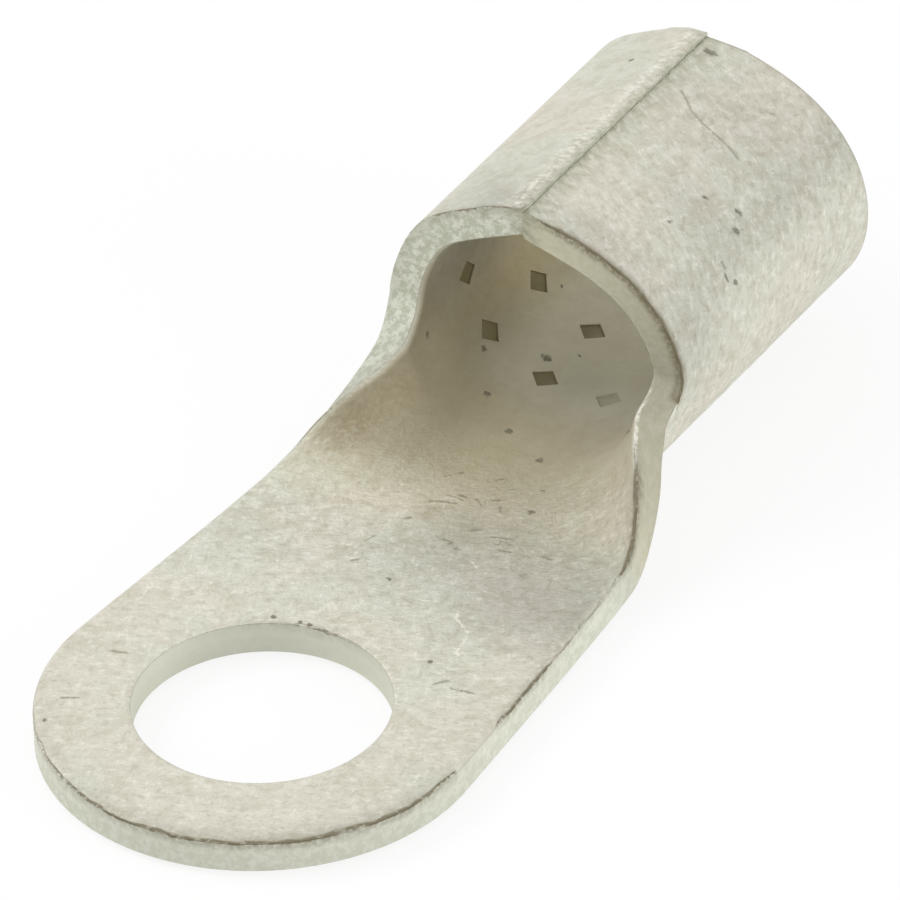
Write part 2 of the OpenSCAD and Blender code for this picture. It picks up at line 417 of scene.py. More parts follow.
# scratches, as broken lines
DARK_STROKES = [
    [(16.48, 1.72), (16.7, 1.51)], [(16.97, 1.35), (17.16, 1.18)], [(17.34, -0.2), (17.71, -0.61)],
    [(16.98, -1.14), (17.17, -1.42)], [(17.42, -2.5), (17.47, -2.77)],
    [(14.75, 1.36), (15.0, 0.95), (15.2, 0.21)], [(15.74, 0.55), (15.77, 0.08)],
    [(15.88, -0.24), (15.51, -0.77)], [(16.03, -0.84), (16.25, -1.3)],
    [(15.84, -1.45), (15.48, -1.67)], [(11.26, 2.09), (11.71, 1.99)], [(12.82, -0.51), (12.8, -1.05)],
    [(13.87, -2.16), (14.04, -2.63), (14.12, -3.16)], [(13.9, -1.18), (14.19, -1.58)],
    [(12.44, -1.23), (12.54, -1.55)], [(13.25, -2.87), (13.36, -3.52)], [(13.64, -4.68), (13.68, -5.23)],
    [(4.3, -5.33), (4.65, -5.53), (4.88, -5.81)], [(4.43, -6.09), (4.56, -6.58), (4.62, -7.1)],
    [(13.17, 1.62), (13.49, 1.34)], [(9.72, 1.93), (10.03, 1.65)], [(-3.74, 7.14), (-3.35, 6.45)],
    [(-0.14, 7.1), (0.11, 6.4)]]
LIGHT_STROKES = [
    [(8.79, -3.67), (8.43, -3.85), (8.17, -4.34), (7.95, -4.76), (7.42, -4.9), (6.9, -4.94), (6.5, -5.04),
     (6.43, -5.32), (6.78, -5.39)],
    [(12.06, -2.36), (11.75, -2.79)], [(4.74, -8.24), (4.92, -8.69)], [(4.17, -8.03), (4.46, -8.41)],
    [(1.75, 7.83), (2.13, 7.7)], [(15.12, 3.0), (15.04, 2.85)], [(10.48, 2.65), (10.93, 2.41)],
    [(9.07, 5.82), (9.69, 5.26)], [(8.82, -1.95), (9.08, -2.55)]]
OUTER_STROKES = [[(23.61, -11.75), (23.78, -11.41)], [(27.04, -12.82), (27.89, -12.49)],
                 [(25.84, -14.36), (25.24, -14.07), (25.25, -13.67), (25.78, -13.5)]]
CREASE = [(31.79, -17.98), (31.12, -17.22), (30.75, -16.39), (30.61, -15.61), (30.47, -14.96), (30.3, -14.4)]
# how light or (below zero) dark each kind of scratch is; the crease's dark line is painted shade in its fold
DARK_TONE, LIGHT_TONE, OUTER_TONE, CREASE_SHADE = -0.6, 0.55, -0.3, -0.5
# how near a point has to be to a scratch to take note of it, and what the other points get
STROKE_NEAR, NO_STROKE, FAR_PAST = 0.55, 0.6, 3.0
# soft patches of tarnish and painted shade, darker or (below zero) lighter as painted light: place, length,
# width, strength
INNER_PATCHES = [(10.2, -1.5, 2.6, 2.8, -0.17), (11, 8.5, 2, 1.6, -0.1), (19, 9.3, 2, 1.8, 0.33),
                 (23, -3.5, 2.4, 3, 0.2), (29, 6.8, 3, 3, -0.5), (21.3, 15, 1.2, 1.6, -0.25),
                 (30.5, 1.5, 2, 2, -0.15), (21.5, 9.5, 1.5, 1.8, 0.12), (24, 0.5, 2, 1.5, 0.09),
                 (16.5, 7, 1.6, 1, 0.12)]
OUTER_PATCHES = [(22, -11, 2.5, 2, 0.2), (26, -12.2, 3, 1.2, 0.12), (31, -12.2, 4, 1.2, 0.12),
                 (36, -12.2, 2, 1.4, 0.15), (21.5, 17, 1.2, 1.5, 0.15), (23, 15.5, 2, 2, 0.1),
                 (26.5, -14.3, 1.5, 1.5, 0.12), (21.8, -16, 1.2, 2.5, 0.13)]

# ---- strength of the dark line along the edges, dirt and painted shade on the rolled-over rim, as pairs of place and strength ----
# the ring's and the hole's go by the angle in degrees, the hole's counted from half a turn on
RING_DIRT_AND_SHADE = ((100, 0.1), (128, 0.3), (150, 0.45), (170, 0.65), (185, 0.75), (205, 0.9), (230, 1), (250, 0.85),
             (262, 0.6), (272, 0.4), (290, 0.15))
HOLE_DIRT_AND_SHADE = ((120, 0.0), (160, 0.2), (185, 0.4), (215, 0.25), (250, 0.0))
# the tongue's go by x
RIGHT_DIRT_AND_SHADE = ((0, 0.15), (3.2, 0.2), (4, 0.8), (7.2, 0.75), (8, 0.35), (13.8, 0.3), (14.8, 1.3), (17.4, 1.3),
              (18.2, 0.5), (19, 0))
LEFT_DIRT_AND_SHADE = ((0, 0.05), (14, 0.1), (15.5, 0.4), (17, 0.3), (19, 0.05))
EDGE_HIGHLIGHT = ((17.5, 0), (18.6, 1), (20.5, 1), (20.9, 0.2))
# the burr along the barrel's front cut goes by y
FRONT_CUT_FROM = 8
RIGHT_BURR = ((-18.6, 0.4), (-18.0, 0.6), (-17.5, 1.5), (-10.5, 1.6), (-8.6, 1.2), (-8.2, 0))
LEFT_BURR = ((FRONT_CUT_FROM, 0.15), (12, 0.35), (15.5, 0.5), (17.2, 0.8), (18.1, 1))
REAR_DIRT_AND_SHADE, REAR_DIRT_AND_SHADE_FROM = 0.3, 34.5
# how dark the sheared faces are: beside the neck by x, at the barrel's front cut by y
NECK_RIM_RIGHT = ((13, 0.07), (14.5, 0.2), (16.5, 0.3), (18.5, 0.36), (20.5, 0.48))
NECK_RIM_LEFT = ((13, 0.1), (15.5, 0.26), (20.3, 0.26), (20.9, 0.12))
FRONT_RIM_RIGHT = ((-18, 0.18), (-15, 0.26), (-12, 0.38), (-9, 0.48))
# tarnish across the inside, and how smooth the barrel's left outside is, both by y
TARNISH_ACROSS = ((-14, 0.3), (-7, 0.5), (0, 0.8), (5, 1), (9, 0.85), (13, 0.3))
SMOOTH_ACROSS = ((8, 0), (13, 1), (17, 1), (18, 0.3))

# where the neck begins, for its glitter and its waves, and how much each sheared edge glitters
NECK_FROM = 12
GLINT_LEFT, GLINT_RIGHT, GLINT_RING = 1.0, 0.4, 0.45
# shade of the faces, of the sheared rims round hole and ring, and the darkest it may get
TONGUE_SHADE, INSIDE_SHADE, BEND_SHADE, RING_BAND_SHADE, OUTER_SHADE = 0.25, 0.36, 0.2, 0.2, 0.1
HOLE_RIM, HOLE_RIM_REAR, RING_RIM, RING_RIM_SHADED, DARKEST = 0.12, 0.1, 0.07, 0.13, 0.9
# how much painted light brightens the barrel's floor and the ring, and how far the tarnish greys towards both
# sides
BARREL_PAINTED_LIGHT, RING_PAINTED_LIGHT = 0.45, 0.12
GREYED_RIGHT, GREYED_LEFT, RIM_TARNISH = 0.5, 0.65, 0.45

# ---- gentle waves of the sheet and drifts of colour, each as height, fineness and seed ----
WAVES = ((0.045, 0.35, 3.0), (0.022, 1.1, 11.0))
HUE_DRIFTS = ((0.9, 0.22, 31.0), (0.35, 0.8, 37.0))
PATCH_DRIFTS = ((0.6, 1.1, 41.0), (0.6, 2.3, 43.0))
# the waves die out WAVES_END from the middle line, a little further out in the barrel
WAVES_END, WAVES_END_BARREL, WAVES_FADE, RING_WAVES = 8.6, 9.2, 0.6, 0.6
# the burr's lip stands out by its first height and up to its second, raggedly, more
LIP, LIP_WIDTH, VALLEY_DEPTH = (0.02, 0.16), 0.13, 0.04
# fineness and seed of that raggedness and of the seam's waves
RAGGED, SEAM_WAVE = (2.6, 5.0), (1.2, 21.0)
CREASE_DEPTH, CREASE_RIDGE = 0.09, 0.05
SEAM_STRETCH, SEAM_ROLL, SEAM_RIDGE = 1.6, 0.06, 0.03


def punch_pits(blank):
    """Square punch marks pressed into the face that becomes the barrel's inside."""
    deselect()
    tools = []
    for pit_x, pit_y in PITS:
        bpy.ops.mesh.primitive_cube_add(size=2, location=(pit_x, pit_y, SHEET + 0.5 - PIT_DEPTH))
        tool = bpy.context.object
        bpy.ops.object.mode_set(mode="EDIT")
        bpy.ops.transform.rotate(value=math.pi / 4, orient_axis="Z", center_override=(pit_x, pit_y, SHEET))
        bpy.ops.object.mode_set(mode="OBJECT")
        tool.scale = (PIT_HALF[0] / math.sqrt(2), PIT_HALF[1] / math.sqrt(2), 0.5)
        bpy.ops.object.transform_apply(location=True, rotation=True, scale=True)
        tools.append(tool)
    punch = join(tools, "punch")
    deselect()
    blank.select_set(True)
    bpy.context.view_layer.objects.active = blank
    cutter = blank.modifiers.new("pits", "BOOLEAN")
    cutter.operation, cutter.solver, cutter.object = "DIFFERENCE", "EXACT", punch
    bpy.ops.object.modifier_apply(modifier="pits")
    bpy.data.objects.remove(punch)


def along(points, line):
    """Signed distance from each point to a broken line, and how far the point is past the line's ends."""
    best, past = np.full(len(points), 9.0), np.full(len(points), FAR_PAST)
    line = np.asarray(line, float)
    for i, (a, b) in enumerate(zip(line[:-1], line[1:])):
        d = b - a
        size = np.hypot(*d)
        t = ((points - a) @ d) / size
        aside = (d[0] * (points[:, 1] - a[1]) - d[1] * (points[:, 0] - a[0])) / size
        gap = np.hypot(aside, np.maximum(np.maximum(-t, t - size), 0))
        closer = gap < np.abs(best)
        best = np.where(closer, np.where(aside >= 0, gap, -gap), best)
        first, last = -t if i == 0 else -1.0, t - size if i == len(line) - 2 else -1.0
        past = np.where(closer, np.maximum(first, last), past)
    return best, past


def soft_patches(points, patches):
    """How much darker (or, below zero, lighter) soft patches of tarnish, painted shade and painted light
    leave each point of the sheet.
    """
    return sum(strength * np.exp(-((points[:, 0] - px) / length) ** 2 - ((points[:, 1] - py) / width) ** 2)
               for px, py, length, width, strength in patches)


def bumps(points, fineness, seed):
    return np.array([noise.noise(Vector((p[0] * fineness + seed, p[1] * fineness, p[2] * fineness)))
                     for p in points])


def drift(points, waves):
    return sum(height * bumps(points, fineness, seed) for height, fineness, seed in waves)


lug = cut_blank()
punch_pits(lug)
flat = vertex_places(lug)
x, y, z = flat[:, 0], flat[:, 1], flat[:, 2]  # views, so they follow every change made below

# ---- which part of the sheet each point is on ----
gap = np.empty(len(flat))  # distance from the rim, up to BAND
lug.data.attributes["gap"].data.foreach_get("value", gap)
for pit_x, pit_y in PITS:
    gap[np.hypot(x - pit_x, y - pit_y) < PIT_ROUND] = BAND
upper = z > SHEET / 2
rim = gap < TOUCHING
right_side = y < 0
from_seam = np.where(y >= 0, SIDES[LEFT]["reach"], SIDES[RIGHT]["reach"]) - np.abs(y)
# distance from the rolled-over edge, which goes below zero down the rim
edge_at = np.where(rim, np.where(upper, z - SHEET + EDGE_ROLL["inner"][1], EDGE_ROLL["outer"][1] - z), gap)
in_barrel = x > FRONT - 0.3
at_front = (np.abs(x - FRONT) < 0.5) & (np.abs(y) > FRONT_CUT_FROM)
at_hole = np.hypot(x, y) < HOLE_R + BAND + SLACK
at_ring = x < 2

# ---- dirt and painted shade, burr and a painted highlight along the edges ----
turn = np.degrees(np.arctan2(y, x))
turn = np.where(turn < 0, turn + 360, turn)
around_ring = strength_at(turn, RING_DIRT_AND_SHADE)
along_tongue = np.where(right_side, strength_at(x, RIGHT_DIRT_AND_SHADE), strength_at(x, LEFT_DIRT_AND_SHADE))
# the dark edge line is dirt and painted shade, strongest along the right-hand edges
edge_dirt_and_shade = np.where(x < 0, around_ring, along_tongue)
edge_dirt_and_shade = np.where(at_hole, strength_at((turn + 180) % 360, HOLE_DIRT_AND_SHADE), edge_dirt_and_shade)
burr = np.where(right_side, strength_at(y, RIGHT_BURR), strength_at(y, LEFT_BURR))
rear_line = REAR_DIRT_AND_SHADE * ((x > REAR_DIRT_AND_SHADE_FROM) & (gap < BAND - SLACK)) * right_side
grime_and_shade = np.where(upper, np.where(in_barrel, 0.0, edge_dirt_and_shade), np.where(at_front, burr, rear_line))
# a painted highlight along the right inner edge of the neck, where the rolled-over edge catches the light
highlit_edge = upper & right_side & (x > EDGE_HIGHLIGHT[0][0]) & (x < FRONT + 0.5) & ~at_hole
painted_highlight = np.where(highlit_edge, strength_at(x, EDGE_HIGHLIGHT), 0)
glint = np.where(x > NECK_FROM, np.where(y > 0, GLINT_LEFT, GLINT_RIGHT), GLINT_RING) * ~at_hole

# ---- small departures from a perfect plate ----
waves_end = np.where(in_barrel, WAVES_END_BARREL, WAVES_END)
loose = slope(gap, 0.1, 0.4) * slope(x, 35.2, 33.7) * slope(np.abs(y), waves_end, waves_end - WAVES_FADE)
loose *= np.where(in_barrel | (x > NECK_FROM), 1, RING_WAVES)
z += drift(flat, WAVES) * loose * np.where(upper, 1, -1)
# the front cut's burr: a ragged lip with a shallow valley behind it
ragged = LIP[0] + LIP[1] * np.abs(bumps(flat, *RAGGED))
lip = at_front & ~upper & (gap < LIP_WIDTH) & (z < 0.12)
z[lip] -= (ragged * np.minimum(burr, 1) * (1 - gap / LIP_WIDTH))[lip]
valley = at_front & ~upper & (gap > 0.11) & (gap < 0.3)
z[valley] += (VALLEY_DEPTH * burr)[valley]
# the crease: a fold with a low ridge beside it
crease_gap, crease_past = along(flat[:, :2], CREASE)
fold = ~upper & in_barrel & (crease_past < 0.3)
z[fold] += (CREASE_DEPTH * bell(crease_gap, 0, 0.25) - CREASE_RIDGE * bell(crease_gap, -0.45, 0.35))[fold]
# both edges of the seam are drawn down into it, the left one with a ridge beside it
on_seam = ~upper & in_barrel & (from_seam < SEAM_STRETCH) & ~(at_front & rim)
z[on_seam & ~rim] *= 0.2
wavy = 1 + bumps(flat * (1, 0.05, 0), *SEAM_WAVE)
left_seam = SEAM_ROLL * bell(from_seam, 0, 0.3) - SEAM_RIDGE * bell(from_seam, 0.5, 0.3)
seam_roll = np.where(right_side, SEAM_ROLL * bell(from_seam, 0, 0.5), left_seam) * wavy
z[:] = np.where(on_seam & (z < 0.4), np.where(rim, 0.1 * z, z) + seam_roll, z)
# the sheet stops a little short at the rear beside the seam
short = np.where(right_side, 0.3 * slope(from_seam, SEAM_STRETCH, 0), 0.2 * slope(from_seam, 0.6, 0) ** 2)
x -= short * slope(x, REAR - 2, REAR)
shape = press(flat)
shape[:, 2] = np.maximum(shape[:, 2], cad_low.z / MM)  # what it stands on has worn flat

# ---- specks and scratches ----
speck = np.zeros(len(flat))
for face, dots in ((upper, INNER_SPECKS), (~upper, OUTER_SPECKS)):
    for dot_x, dot_y, radius in dots:
        away = np.hypot(x - dot_x, (y - dot_y) * SPECK_SQUEEZE) / radius
        speck = np.maximum(speck, np.where(face & ~rim, np.clip(SPECK_END - away, 0, 1), 0))
mark, past, tone = np.full(len(flat), NO_STROKE), np.full(len(flat), FAR_PAST), np.zeros(len(flat))
# the crease's dark line is painted shade in its fold
for face, lines, value in ((upper, DARK_STROKES, DARK_TONE), (upper, LIGHT_STROKES, LIGHT_TONE),
                           (~upper, OUTER_STROKES, OUTER_TONE), (~upper, [CREASE], CREASE_SHADE)):
    for line in lines:
        aside, beyond = along(flat[:, :2], line)
        on = face & (np.abs(aside) < np.minimum(np.abs(mark), STROKE_NEAR)) & (gap > 0.2)
        mark[on], past[on], tone[on] = aside[on], beyond[on], value

# ---- painted shade: how much darker each part is painted, in the neck, inside the barrel, on the barrel's right outside and along the sheared rims ----
inside = fade(x, 20.5, 23.5)
clear_of_rim = slope(gap, 0.05, 0.35)
# painted shade on the tongue's middle and right towards the neck, and inside the barrel
tongue_shade = TONGUE_SHADE * fade(x, 6, 11) * np.maximum(fade(y, 3.5, -1.5), fade(x, 13, 17))
shade = tongue_shade * (1 - inside) + INSIDE_SHADE * inside * fade(y, 2, 6)
shade += BEND_SHADE * bell(x, 19, 3.2) * fade(y, 0.5, 4.5)
shade += RING_BAND_SHADE * bell(np.hypot(x, y), RING_R, 0.7) * around_ring * at_ring
shade = 1 - (1 - shade) * (1 - soft_patches(flat, INNER_PATCHES))
# painted shade on the barrel's right outside
outer_shade = OUTER_SHADE * bell(x, 32, 3.2) * bell(y, -14.5, 4)
outer_shade = 1 - (1 - outer_shade) * (1 - soft_patches(flat, OUTER_PATCHES))
hole_rim = HOLE_RIM + HOLE_RIM_REAR * fade(x, 0, 3) * fade(y, 0, 3)
ring_rim = RING_RIM + RING_RIM_SHADED * around_ring * at_ring
right_rim = np.where(in_barrel, strength_at(y, FRONT_RIM_RIGHT), strength_at(x, NECK_RIM_RIGHT))
neck_rim = np.where(right_side, right_rim, strength_at(x, NECK_RIM_LEFT))
rim_shade = np.where(at_hole, hole_rim, np.where(x < NECK_RIM_RIGHT[0][0], ring_rim, neck_rim))
face_shade = np.where(upper, np.clip(shade, 0, DARKEST) * clear_of_rim, outer_shade * in_barrel)
shade = np.where(rim, rim_shade, face_shade)

# ---- tarnish, stain and painted light ----
painted_light_share = BARREL_PAINTED_LIGHT * fade(x, 22, 24) * fade(y, 7, 3) + RING_PAINTED_LIGHT * fade(x, 10, 5)
painted_light_share = np.where(upper, painted_light_share, 0)
greyed = GREYED_RIGHT * fade(y, 7, 2) + GREYED_LEFT * fade(y, 6.5, 10.5)
tarnish = fade(x, 11, 19) * strength_at(y, TARNISH_ACROSS) * clear_of_rim * (1 - inside * greyed)
tarnish = np.where(rim, RIM_TARNISH * fade(x, 14, 16) * right_side, np.where(upper, tarnish, 0))
stain = bell(x, 16.4, 1.3) * bell(y, 6.5, 1) + 0.5 * bell(x, 18.6, 1.6) * bell(y, 6.6, 1.2)
stain = np.where(upper, stain, 0)
# dirt and painted shade in the seam's valley, and rubbed flecks with a painted highlight on its raised left
# lip
seam_dirt_and_shade = bell(from_seam, 0.1, np.where(right_side, 0.5, 0.22)) * in_barrel
seam_dirt_and_shade *= np.where(at_front & rim, 1.7, 0.9)
seam_lip = 0.7 * bell(from_seam, 0.45, 0.25) * (in_barrel & ~upper & ~right_side)
# broad drifts of colour, and where the tumbling has left the skin smooth
hue, patch = 0.5 + drift(flat, HUE_DRIFTS), 0.5 + drift(flat, PATCH_DRIFTS)
calm_skin = fade(x, 16.5, 20.5) * upper + 0.6 * (in_barrel & ~upper) * strength_at(y, SMOOTH_ACROSS)
lug.data.vertices.foreach_set("co", (shape * MM).ravel())


def keep(name, values):
    """Stores one value or vector for each point of the lug, for its finish to read."""
    old = lug.data.attributes.get(name)
    if old:
        lug.data.attributes.remove(old)
    kind, field = ("FLOAT_VECTOR", "vector") if values.ndim == 2 else ("FLOAT", "value")
    lug.data.attributes.new(name, kind, "POINT").data.foreach_set(field, values.ravel().astype(np.float32))


keep("blank", flat)
for name, values in dict(gap=gap, edge_at=edge_at, grime_and_shade=grime_and_shade, painted_highlight=painted_highlight, glint=glint, speck=speck,
                         mark=mark, past=past, tone=tone, tarnish=tarnish, shade=shade, painted_light_share=painted_light_share,
                         stain=stain, seam_dirt_and_shade=seam_dirt_and_shade, seam_lip=seam_lip, hue=hue, patch=patch,
                         calm_skin=calm_skin).items():
    keep(name, values)
lug.data.attributes.remove(lug.data.attributes["outward"])
lug.data.update()
deselect()
lug.select_set(True)
bpy.context.view_layer.objects.active = lug
bpy.ops.object.shade_smooth_by_angle(angle=math.radians(40))
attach(lug, "root")
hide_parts("cable_lug")


# ---- the finish ----
def srgb(*shown):
    """A colour for a socket from its red, green and blue as a screen shows them, 0 to 255."""
    return tuple(((c / 255 + 0.055) / 1.055) ** 2.4 if c > 10 else c / 255 / 12.92 for c in shown) + (1.0,)


METALLIC, ROUGHEST, SMOOTHEST = 0.4, 0.75, 0.62
RELIEF = 0.00008
LIGHT_GREEN = srgb(209, 210, 196)
LIGHT_PINK = srgb(213, 209, 196)
LIGHT_WARM = srgb(196, 191, 174)
# pale flecks of the tumbled skin, also the colour of the painted highlights on the right edge and the seam's
# lip
PALE_FLECK_AND_HIGHLIGHT = srgb(238, 236, 225)
FLECK_DARK = srgb(170, 165, 146)
CUT_PLAIN = srgb(222, 223, 207)
CUT_LIGHT = srgb(232, 234, 220)
CUT_DARK = srgb(200, 203, 184)
TARNISH = srgb(224, 209, 164)
SHADE = srgb(20, 17, 8)
PAINTED_LIGHT = srgb(240, 239, 224)
STAIN = srgb(150, 136, 106)
PIT = srgb(124, 114, 74)
DIRT_AND_SHADE = srgb(98, 88, 58)
STROKE_DARK = srgb(132, 125, 102)
SEAM_DIRT_AND_SHADE = srgb(160, 160, 138)
SPECK = srgb(84, 78, 58)
# the dark line of dirt and painted shade lies this far down from the edge of the face
LINE_AT = 0.06


class Finish:
    """A material being wired up: each call adds one node and gives back its output."""

    def __init__(self, tree):
        self.tree = tree

    def node(self, kind, **settings):
        made = self.tree.nodes.new(kind)
        for name, value in settings.items():
            setattr(made, name, value)
        return made

    def wire(self, value, socket):
        if isinstance(value, bpy.types.NodeSocket):
            self.tree.links.new(value, socket)
        else:
            socket.default_value = value

    def math(self, how, a, b=0.0):
        made = self.node("ShaderNodeMath", operation=how)
        self.wire(a, made.inputs[0])
        self.wire(b, made.inputs[1])
        return made.outputs[0]

    def times(self, a, b):
        return self.math("MULTIPLY", a, b)

    def value(self, name):
        return self.node("ShaderNodeAttribute", attribute_name=name).outputs["Fac"]

    def vector(self, name):
        return self.node("ShaderNodeAttribute", attribute_name=name).outputs["Vector"]

    def noise(self, where, scale, detail, rough):
        made = self.node("ShaderNodeTexNoise")
        for name, value in (("Vector", where), ("Scale", scale), ("Detail", detail), ("Roughness", rough)):
            self.wire(value, made.inputs[name])
        return made.outputs["Fac"]

    def turned(self, where, angle, stretch, shift=0.0):
        made = self.node("ShaderNodeMapping", vector_type="TEXTURE")
        self.wire(where, made.inputs["Vector"])
        made.inputs["Location"].default_value = (shift, shift, shift)
        made.inputs["Rotation"].default_value = (0, 0, math.radians(angle))
        made.inputs["Scale"].default_value = (stretch, 1, 1)
        return made.outputs[0]

    def ramp(self, value, low, high, to_low=0.0, to_high=1.0):
        made = self.node("ShaderNodeMapRange", interpolation_type="SMOOTHSTEP")
        for v, name in ((value, "Value"), (low, "From Min"), (high, "From Max"), (to_low, "To Min"),
                        (to_high, "To Max")):
            self.wire(v, made.inputs[name])
        return made.outputs["Result"]

    def mix(self, share, a, b):
        made = self.node("ShaderNodeMix", data_type="RGBA", blend_type="MIX")
        self.wire(share, made.inputs[0])
        self.wire(a, made.inputs[6])
        self.wire(b, made.inputs[7])
        return made.outputs[2]


def tinned_copper():
    metal = bpy.data.materials.new("tinned_copper")
    metal.use_nodes = True
    f = Finish(metal.node_tree)
    shader = metal.node_tree.nodes["Principled BSDF"]
    place = f.vector("blank")
    xyz = f.node("ShaderNodeSeparateXYZ")
    f.wire(place, xyz.inputs[0])
    across, depth = xyz.outputs[1], xyz.outputs[2]
    gap, patch, tone = f.value("gap"), f.value("patch"), f.value("tone")
    cut = f.ramp(gap, 0.004, 0.022, 1.0, 0.0)
    face = f.math("SUBTRACT", 1.0, cut)

    # tumbling marks: short soft strokes that mostly lie one way, crossed by a few others
    stroke = f.noise(f.turned(place, -57, 1.7), 3.6, 2.0, 0.68)
    cross = f.noise(f.turned(place, 18, 1.7, 7.0), 3.0, 2.0, 0.68)
    ragged = f.noise(place, 5.0, 1.0, 0.7)
    wander = f.math("SUBTRACT", ragged, 0.5)
    fresh = f.times(face, f.math("SUBTRACT", 1.0, f.times(f.value("calm_skin"), 0.8)))
    tint = f.mix(f.ramp(f.value("hue"), 0.25, 0.75), LIGHT_GREEN, LIGHT_PINK)
    tint = f.mix(f.ramp(patch, 0.3, 0.8, 0.0, 0.5), tint, LIGHT_WARM)
    light = f.math("MAXIMUM", f.ramp(stroke, 0.52, 0.76), f.ramp(cross, 0.54, 0.76))
    dark = f.math("MAXIMUM", f.ramp(stroke, 0.48, 0.26), f.ramp(cross, 0.46, 0.25))
    tint = f.mix(f.times(light, f.times(fresh, 0.6)), tint, PALE_FLECK_AND_HIGHLIGHT)
    tint = f.mix(f.times(dark, f.times(fresh, 0.42)), tint, FLECK_DARK)

    # sheared faces: paler and greener, with a coarse glitter where the shear tore the sheet
    torn = f.noise(place, 2.8, 2.0, 0.75)
    glint = f.value("glint")
    cut_tint = f.mix(f.ramp(torn, 0.62, 0.40), CUT_LIGHT, CUT_DARK)
    cut_tint = f.mix(f.times(glint, 0.9), CUT_PLAIN, cut_tint)
    tint = f.mix(f.times(cut, 0.9), tint, cut_tint)

    # tarnish, painted light, painted shade and stain of the neck and the barrel's inside, and the floors of
    # the punch marks
    tint = f.mix(f.times(f.value("tarnish"), 0.65), tint, TARNISH)
    # painted light on the barrel's floor and the ring
    tint = f.mix(f.value("painted_light_share"), tint, PAINTED_LIGHT)
    # painted shade
    tint = f.mix(f.value("shade"), tint, SHADE)
    tint = f.mix(f.times(f.value("stain"), f.ramp(ragged, 0.35, 0.6, 0.2, 0.7)), tint, STAIN)
    pit = f.times(f.ramp(depth, 1.48, 1.40), f.times(f.ramp(depth, 1.15, 1.2), f.ramp(gap, 0.3, 0.4)))
    pit = f.times(pit, f.ramp(across, -2.2, 1.2, 0.25, 1.0))
    tint = f.mix(f.times(pit, 0.8), tint, PIT)

    # the dark line along the edges, dirt and painted shade of the rolled-over edge, its soft halo, and the
    # painted highlight along the right edge
    grime_and_shade = f.value("grime_and_shade")
    edge_at = f.math("ADD", f.value("edge_at"), f.times(wander, 0.1))
    edge_at = f.math("ADD", edge_at, f.times(f.math("SUBTRACT", patch, 0.5), 0.12))
    half = f.math("ADD", f.times(grime_and_shade, 0.18), f.times(wander, 0.12))
    off = f.math("ABSOLUTE", f.math("SUBTRACT", edge_at, LINE_AT))
    line = f.times(f.ramp(off, half, f.times(half, 0.15)), f.ramp(grime_and_shade, 0.08, 0.5))
    line = f.times(line, f.ramp(f.math("ADD", stroke, f.times(grime_and_shade, 0.1)), 0.36, 0.58, 0.45, 1.0))
    halo = f.times(grime_and_shade, f.ramp(f.math("ABSOLUTE", edge_at), 0.48, 0.0, 0.0, 0.6))
    halo = f.times(halo, f.ramp(ragged, 0.25, 0.6, 0.35, 1.0))
    dirt_and_shade = f.math("MAXIMUM", line, halo)
    # dirt and painted shade along the edges
    tint = f.mix(f.times(dirt_and_shade, 0.9), tint, DIRT_AND_SHADE)
    # painted highlight along the right inner edge
    highlight_share = f.times(f.value("painted_highlight"), f.ramp(off, 0.2, 0.06))
    highlight_share = f.times(highlight_share, f.ramp(ragged, 0.40, 0.62, 0.1, 0.8))
    tint = f.mix(highlight_share, tint, PALE_FLECK_AND_HIGHLIGHT)

    # the seam: rubbed flecks and a painted highlight on its left lip, dirt and painted shade in its valley
    tint = f.mix(f.times(f.value("seam_lip"), f.ramp(ragged, 0.45, 0.62)), tint, PALE_FLECK_AND_HIGHLIGHT)
    tint = f.mix(f.times(f.value("seam_dirt_and_shade"), f.ramp(stroke, 0.35, 0.6, 0.65, 0.3)), tint, SEAM_DIRT_AND_SHADE)

    # specks and scratches
    dots = f.ramp(f.math("ADD", f.value("speck"), f.times(wander, 0.7)), 0.40, 0.75)
    tint = f.mix(f.times(dots, 0.75), tint, SPECK)
    width = f.math("MAXIMUM", f.math("ADD", 0.10, f.times(wander, 0.4)), 0.02)
    drawn = f.ramp(f.math("ABSOLUTE", f.value("mark")), 0.0, width, 1.0, 0.0)
    drawn = f.times(drawn, f.ramp(f.value("past"), 0.1, -0.1))
    tint = f.mix(f.times(drawn, f.ramp(tone, 0.0, -1.0)), tint, STROKE_DARK)
    tint = f.mix(f.times(drawn, f.ramp(tone, 0.0, 1.0)), tint, PALE_FLECK_AND_HIGHLIGHT)
    f.wire(tint, shader.inputs["Base Color"])

    f.wire(f.ramp(stroke, 0.3, 0.7, ROUGHEST, SMOOTHEST), shader.inputs["Roughness"])
    dulled = f.times(f.math("MAXIMUM", dirt_and_shade, dots), METALLIC)
    f.wire(f.math("SUBTRACT", METALLIC, dulled), shader.inputs["Metallic"])
    relief = f.times(f.math("ADD", stroke, f.times(cross, 0.8)), fresh)
    relief = f.math("ADD", relief, f.times(torn, f.times(cut, glint)))
    relief = f.math("SUBTRACT", relief, f.times(f.math("MAXIMUM", drawn, dots), 0.3))
    bump = f.node("ShaderNodeBump")
    bump.inputs["Strength"].default_value = 1.0
    bump.inputs["Distance"].default_value = RELIEF
    f.wire(relief, bump.inputs["Height"])
    f.wire(bump.outputs[0], shader.inputs["Normal"])
    return metal


lug.data.materials.append(tinned_copper())

# ---- floor ----
FLOOR_RADIUS, FLOOR_GAP = 1.5, 0.00002
FLOOR_WHITE, FLOOR_GLOW = 0.9, 0.85


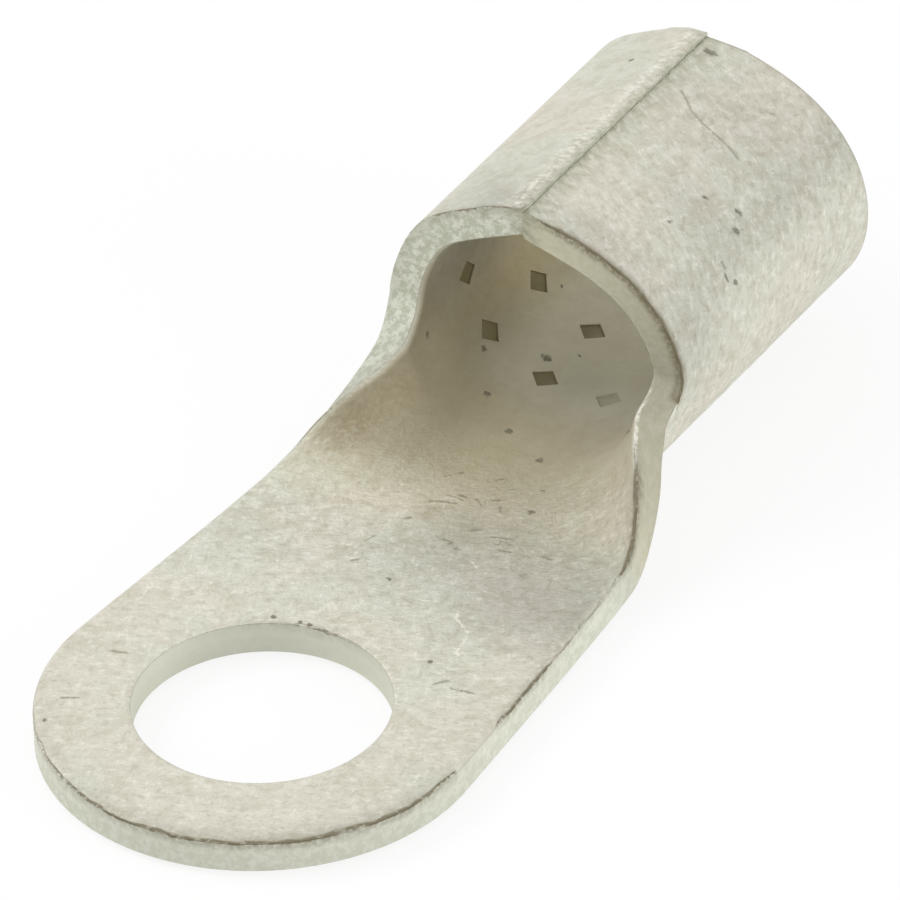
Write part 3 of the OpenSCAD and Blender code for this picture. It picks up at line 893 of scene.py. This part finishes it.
def white_paper():
    """Plain white paper that keeps a soft shadow: part glow for the rays that see it, part plain paper."""
    paper = bpy.data.materials.new("white_paper")
    paper.use_nodes = True
    paper.node_tree.nodes.clear()
    f = Finish(paper.node_tree)
    rays = f.node("ShaderNodeLightPath").outputs
    seen = f.math("MAXIMUM", rays["Is Camera Ray"], rays["Is Glossy Ray"])
    seen = f.math("MAXIMUM", seen, rays["Is Transmission Ray"])
    plain = f.node("ShaderNodeBsdfDiffuse")
    plain.inputs["Color"].default_value = (FLOOR_WHITE, FLOOR_WHITE, FLOOR_WHITE, 1)
    mix = f.node("ShaderNodeMixShader")
    f.wire(f.times(seen, FLOOR_GLOW), mix.inputs[0])
    f.wire(plain.outputs[0], mix.inputs[1])
    f.wire(f.node("ShaderNodeEmission").outputs[0], mix.inputs[2])
    f.wire(mix.outputs[0], f.node("ShaderNodeOutputMaterial").inputs[0])
    return paper


deselect()
bpy.ops.mesh.primitive_circle_add(vertices=96, radius=FLOOR_RADIUS, fill_type="NGON",
                                  location=(0, 0, cad_low.z - FLOOR_GAP))
floor = bpy.context.object
floor.name = "floor"
floor.data.materials.append(white_paper())

# ---- light ----
WORLD_STRENGTH = 0.8
SOFTBOX = 0.3

world = bpy.data.worlds.new("studio")
bpy.context.scene.world = world
world.use_nodes = True
sky = world.node_tree.nodes["Background"]
sky.inputs["Color"].default_value = (1, 1, 1, 1)
sky.inputs["Strength"].default_value = WORLD_STRENGTH


def softbox(name, place, aim, power):
    deselect()
    bpy.ops.object.light_add(type="AREA", location=place)
    made = bpy.context.object
    made.name = name
    made.data.shape = "DISK"
    made.data.size = SOFTBOX
    made.data.energy = power
    made.rotation_mode = "QUATERNION"
    made.rotation_quaternion = (Vector(aim) - Vector(place)).to_track_quat("-Z", "Y")


softbox("softbox_left", (-0.1, 0.35, 0.4), (0.015, 0, 0.005), 1.1)
softbox("softbox_right", (0.0, -0.45, 0.12), (0.02, 0, 0.005), 0.7)

# ---- camera ----
CAMERA_AT = (-0.39520154, -0.26653323, 0.36186326)
HEADING, TILT, BANK = math.radians(33.05225), math.radians(36.15943), math.radians(-2.13655)
LENS, SENSOR = 600, 36
deselect()
bpy.ops.object.camera_add(location=CAMERA_AT)
camera = bpy.context.object
camera.name = "camera"
camera.data.lens = LENS
camera.data.sensor_width = SENSOR
camera.data.clip_start, camera.data.clip_end = 0.05, 10
forward = Vector((math.cos(HEADING) * math.cos(TILT), math.sin(HEADING) * math.cos(TILT), -math.sin(TILT)))
camera.rotation_mode = "QUATERNION"
level = forward.to_track_quat("-Z", "Y")
camera.rotation_quaternion = level @ Matrix.Rotation(BANK, 3, "Z").to_quaternion()
bpy.context.scene.camera = camera

bpy.context.scene.view_settings.view_transform = "Standard"
